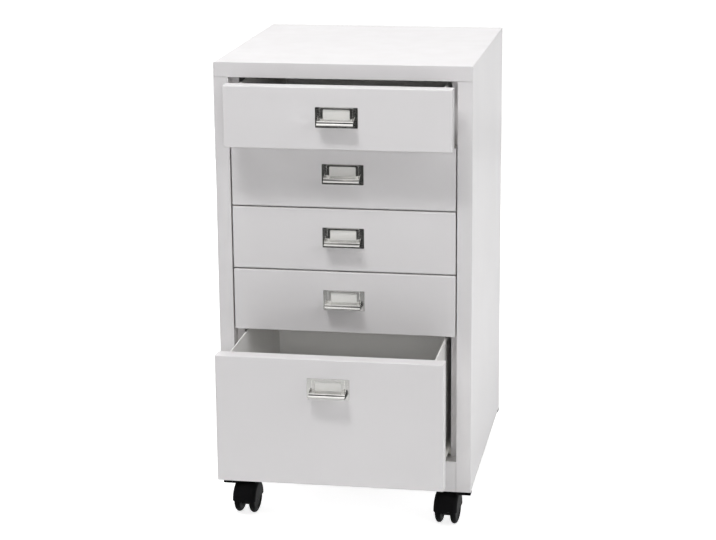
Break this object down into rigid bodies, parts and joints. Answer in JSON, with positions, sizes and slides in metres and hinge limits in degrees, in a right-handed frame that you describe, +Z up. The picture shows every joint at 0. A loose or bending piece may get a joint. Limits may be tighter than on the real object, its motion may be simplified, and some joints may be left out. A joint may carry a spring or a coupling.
{
  "type": "mobile drawer cabinet",
  "caption": "Small pale grey sheet-metal drawer cabinet on twin-wheel swivel castors: shallow drawers over a deep one, nickel label pulls, top and bottom drawers part open.",
  "frame": {"origin": "on the floor, under the middle of the overall box as the cabinet stands with its top and bottom drawers part way out", "axes": "+Z up, +X to the right of someone facing the drawers, drawer fronts face -Y"},
  "size_m": [0.38, 0.559, 0.7],
  "materials": {
    "pale_grey_powder_coat": "semi-gloss powder coat",
    "tray_grey_paint": "satin paint",
    "white_runner_epoxy": "satin epoxy",
    "white_nylon": "matte moulded",
    "zinc_plated_steel": "zinc plated",
    "black_nylon": "semi-matte moulded",
    "bright_nickel": "polished",
    "label_card": "matte card"
  },
  "bodies": {
    "cabinet": {"cabinet_wrap": "pale_grey_powder_coat", "back_panel": "pale_grey_powder_coat", "base_pan": "pale_grey_powder_coat", "front_uprights": "pale_grey_powder_coat", "rear_uprights": "pale_grey_powder_coat", "corner_caps": "black_nylon", "cabinet_runners": "white_runner_epoxy", "runner_screws": "zinc_plated_steel", "castor_stems": "zinc_plated_steel"},
    "drawer_1": {"drawer_1_front": "pale_grey_powder_coat", "drawer_1_tray": "tray_grey_paint", "drawer_1_runners": "white_runner_epoxy", "drawer_1_pull": "bright_nickel", "drawer_1_label_card": "label_card"},
    "drawer_1_front_rollers": {"drawer_1_front_rollers": "white_nylon"},
    "drawer_1_rear_rollers": {"drawer_1_rear_rollers": "white_nylon"},
    "drawer_2": {"drawer_2_front": "pale_grey_powder_coat", "drawer_2_tray": "tray_grey_paint", "drawer_2_runners": "white_runner_epoxy", "drawer_2_pull": "bright_nickel", "drawer_2_label_card": "label_card"},
    "drawer_2_front_rollers": {"drawer_2_front_rollers": "white_nylon"},
    "drawer_2_rear_rollers": {"drawer_2_rear_rollers": "white_nylon"},
    "drawer_3": {"drawer_3_front": "pale_grey_powder_coat", "drawer_3_tray": "tray_grey_paint", "drawer_3_runners": "white_runner_epoxy", "drawer_3_pull": "bright_nickel", "drawer_3_label_card": "label_card"},
    "drawer_3_front_rollers": {"drawer_3_front_rollers": "white_nylon"},
    "drawer_3_rear_rollers": {"drawer_3_rear_rollers": "white_nylon"},
    "drawer_4": {"drawer_4_front": "pale_grey_powder_coat", "drawer_4_tray": "tray_grey_paint", "drawer_4_runners": "white_runner_epoxy", "drawer_4_pull": "bright_nickel", "drawer_4_label_card": "label_card"},
    "drawer_4_front_rollers": {"drawer_4_front_rollers": "white_nylon"},
    "drawer_4_rear_rollers": {"drawer_4_rear_rollers": "white_nylon"},
    "drawer_5": {"drawer_5_front": "pale_grey_powder_coat", "drawer_5_tray": "tray_grey_paint", "drawer_5_runners": "white_runner_epoxy", "drawer_5_pull": "bright_nickel", "drawer_5_label_card": "label_card"},
    "drawer_5_front_rollers": {"drawer_5_front_rollers": "white_nylon"},
    "drawer_5_rear_rollers": {"drawer_5_rear_rollers": "white_nylon"},
    "castor_front_left": {"castor_front_left_hood": "black_nylon", "castor_front_left_axle": "zinc_plated_steel"},
    "castor_front_left_wheel_left": {"castor_front_left_wheel_left": "black_nylon"},
    "castor_front_left_wheel_right": {"castor_front_left_wheel_right": "black_nylon"},
    "castor_front_right": {"castor_front_right_hood": "black_nylon", "castor_front_right_axle": "zinc_plated_steel"},
    "castor_front_right_wheel_left": {"castor_front_right_wheel_left": "black_nylon"},
    "castor_front_right_wheel_right": {"castor_front_right_wheel_right": "black_nylon"},
    "castor_rear_left": {"castor_rear_left_hood": "black_nylon", "castor_rear_left_axle": "zinc_plated_steel"},
    "castor_rear_left_wheel_left": {"castor_rear_left_wheel_left": "black_nylon"},
    "castor_rear_left_wheel_right": {"castor_rear_left_wheel_right": "black_nylon"},
    "castor_rear_right": {"castor_rear_right_hood": "black_nylon", "castor_rear_right_axle": "zinc_plated_steel"},
    "castor_rear_right_wheel_left": {"castor_rear_right_wheel_left": "black_nylon"},
    "castor_rear_right_wheel_right": {"castor_rear_right_wheel_right": "black_nylon"}
  },
  "joints": [
    {"name": "drawer_1_slide", "type": "slide", "parent": "cabinet", "child": "drawer_1", "axis": [0, -1, 0], "range_m": [-0.045, 0.225]},
    {"name": "drawer_1_front_roll", "type": "hinge", "parent": "cabinet", "child": "drawer_1_front_rollers", "pos_m": [0, -0.096, 0.5883], "axis": [1, 0, 0], "continuous": true},
    {"name": "drawer_1_rear_roll", "type": "hinge", "parent": "drawer_1", "child": "drawer_1_rear_rollers", "pos_m": [0, 0.1745, 0.5883], "axis": [1, 0, 0], "continuous": true},
    {"name": "drawer_2_slide", "type": "slide", "parent": "cabinet", "child": "drawer_2", "axis": [0, -1, 0], "range_m": [0, 0.27]},
    {"name": "drawer_2_front_roll", "type": "hinge", "parent": "cabinet", "child": "drawer_2_front_rollers", "pos_m": [0, -0.096, 0.4933], "axis": [1, 0, 0], "continuous": true},
    {"name": "drawer_2_rear_roll", "type": "hinge", "parent": "drawer_2", "child": "drawer_2_rear_rollers", "pos_m": [0, 0.2195, 0.4933], "axis": [1, 0, 0], "continuous": true},
    {"name": "drawer_3_slide", "type": "slide", "parent": "cabinet", "child": "drawer_3", "axis": [0, -1, 0], "range_m": [0, 0.27]},
    {"name": "drawer_3_front_roll", "type": "hinge", "parent": "cabinet", "child": "drawer_3_front_rollers", "pos_m": [0, -0.096, 0.3983], "axis": [1, 0, 0], "continuous": true},
    {"name": "drawer_3_rear_roll", "type": "hinge", "parent": "drawer_3", "child": "drawer_3_rear_rollers", "pos_m": [0, 0.2195, 0.3983], "axis": [1, 0, 0], "continuous": true},
    {"name": "drawer_4_slide", "type": "slide", "parent": "cabinet", "child": "drawer_4", "axis": [0, -1, 0], "range_m": [0, 0.27]},
    {"name": "drawer_4_front_roll", "type": "hinge", "parent": "cabinet", "child": "drawer_4_front_rollers", "pos_m": [0, -0.096, 0.3033], "axis": [1, 0, 0], "continuous": true},
    {"name": "drawer_4_rear_roll", "type": "hinge", "parent": "drawer_4", "child": "drawer_4_rear_rollers", "pos_m": [0, 0.2195, 0.3033], "axis": [1, 0, 0], "continuous": true},
    {"name": "drawer_5_slide", "type": "slide", "parent": "cabinet", "child": "drawer_5", "axis": [0, -1, 0], "range_m": [-0.133, 0.137]},
    {"name": "drawer_5_front_roll", "type": "hinge", "parent": "cabinet", "child": "drawer_5_front_rollers", "pos_m": [0, -0.096, 0.1113], "axis": [1, 0, 0], "continuous": true},
    {"name": "drawer_5_rear_roll", "type": "hinge", "parent": "drawer_5", "child": "drawer_5_rear_rollers", "pos_m": [0, 0.0865, 0.1113], "axis": [1, 0, 0], "continuous": true},
    {"name": "castor_front_left_swivel", "type": "hinge", "parent": "cabinet", "child": "castor_front_left", "pos_m": [-0.155, -0.0925, 0.045], "axis": [0, 0, 1], "continuous": true},
    {"name": "castor_front_left_wheel_left_spin", "type": "hinge", "parent": "castor_front_left", "child": "castor_front_left_wheel_left", "pos_m": [-0.15661, -0.11093, 0.025], "axis": [0.9962, -0.0872, 0], "continuous": true},
    {"name": "castor_front_left_wheel_right_spin", "type": "hinge", "parent": "castor_front_left", "child": "castor_front_left_wheel_right", "pos_m": [-0.15661, -0.11093, 0.025], "axis": [0.9962, -0.0872, 0], "continuous": true},
    {"name": "castor_front_right_swivel", "type": "hinge", "parent": "cabinet", "child": "castor_front_right", "pos_m": [0.155, -0.0925, 0.045], "axis": [0, 0, 1], "continuous": true},
    {"name": "castor_front_right_wheel_left_spin", "type": "hinge", "parent": "castor_front_right", "child": "castor_front_right_wheel_left", "pos_m": [0.15339, -0.11093, 0.025], "axis": [0.9962, -0.0872, 0], "continuous": true},
    {"name": "castor_front_right_wheel_right_spin", "type": "hinge", "parent": "castor_front_right", "child": "castor_front_right_wheel_right", "pos_m": [0.15339, -0.11093, 0.025], "axis": [0.9962, -0.0872, 0], "continuous": true},
    {"name": "castor_rear_left_swivel", "type": "hinge", "parent": "cabinet", "child": "castor_rear_left", "pos_m": [-0.155, 0.2415, 0.045], "axis": [0, 0, 1], "continuous": true},
    {"name": "castor_rear_left_wheel_left_spin", "type": "hinge", "parent": "castor_rear_left", "child": "castor_rear_left_wheel_left", "pos_m": [-0.15661, 0.22307, 0.025], "axis": [0.9962, -0.0872, 0], "continuous": true},
    {"name": "castor_rear_left_wheel_right_spin", "type": "hinge", "parent": "castor_rear_left", "child": "castor_rear_left_wheel_right", "pos_m": [-0.15661, 0.22307, 0.025], "axis": [0.9962, -0.0872, 0], "continuous": true},
    {"name": "castor_rear_right_swivel", "type": "hinge", "parent": "cabinet", "child": "castor_rear_right", "pos_m": [0.155, 0.2415, 0.045], "axis": [0, 0, 1], "continuous": true},
    {"name": "castor_rear_right_wheel_left_spin", "type": "hinge", "parent": "castor_rear_right", "child": "castor_rear_right_wheel_left", "pos_m": [0.15339, 0.22307, 0.025], "axis": [0.9962, -0.0872, 0], "continuous": true},
    {"name": "castor_rear_right_wheel_right_spin", "type": "hinge", "parent": "castor_rear_right", "child": "castor_rear_right_wheel_right", "pos_m": [0.15339, 0.22307, 0.025], "axis": [0.9962, -0.0872, 0], "continuous": true}
  ],
  "couplings": [
    {"joint": "drawer_1_front_roll", "follows": "drawer_1_slide", "rad_per_m": 125},
    {"joint": "drawer_1_rear_roll", "follows": "drawer_1_slide", "rad_per_m": 125},
    {"joint": "drawer_2_front_roll", "follows": "drawer_2_slide", "rad_per_m": 125},
    {"joint": "drawer_2_rear_roll", "follows": "drawer_2_slide", "rad_per_m": 125},
    {"joint": "drawer_3_front_roll", "follows": "drawer_3_slide", "rad_per_m": 125},
    {"joint": "drawer_3_rear_roll", "follows": "drawer_3_slide", "rad_per_m": 125},
    {"joint": "drawer_4_front_roll", "follows": "drawer_4_slide", "rad_per_m": 125},
    {"joint": "drawer_4_rear_roll", "follows": "drawer_4_slide", "rad_per_m": 125},
    {"joint": "drawer_5_front_roll", "follows": "drawer_5_slide", "rad_per_m": 125},
    {"joint": "drawer_5_rear_roll", "follows": "drawer_5_slide", "rad_per_m": 125}
  ]
}
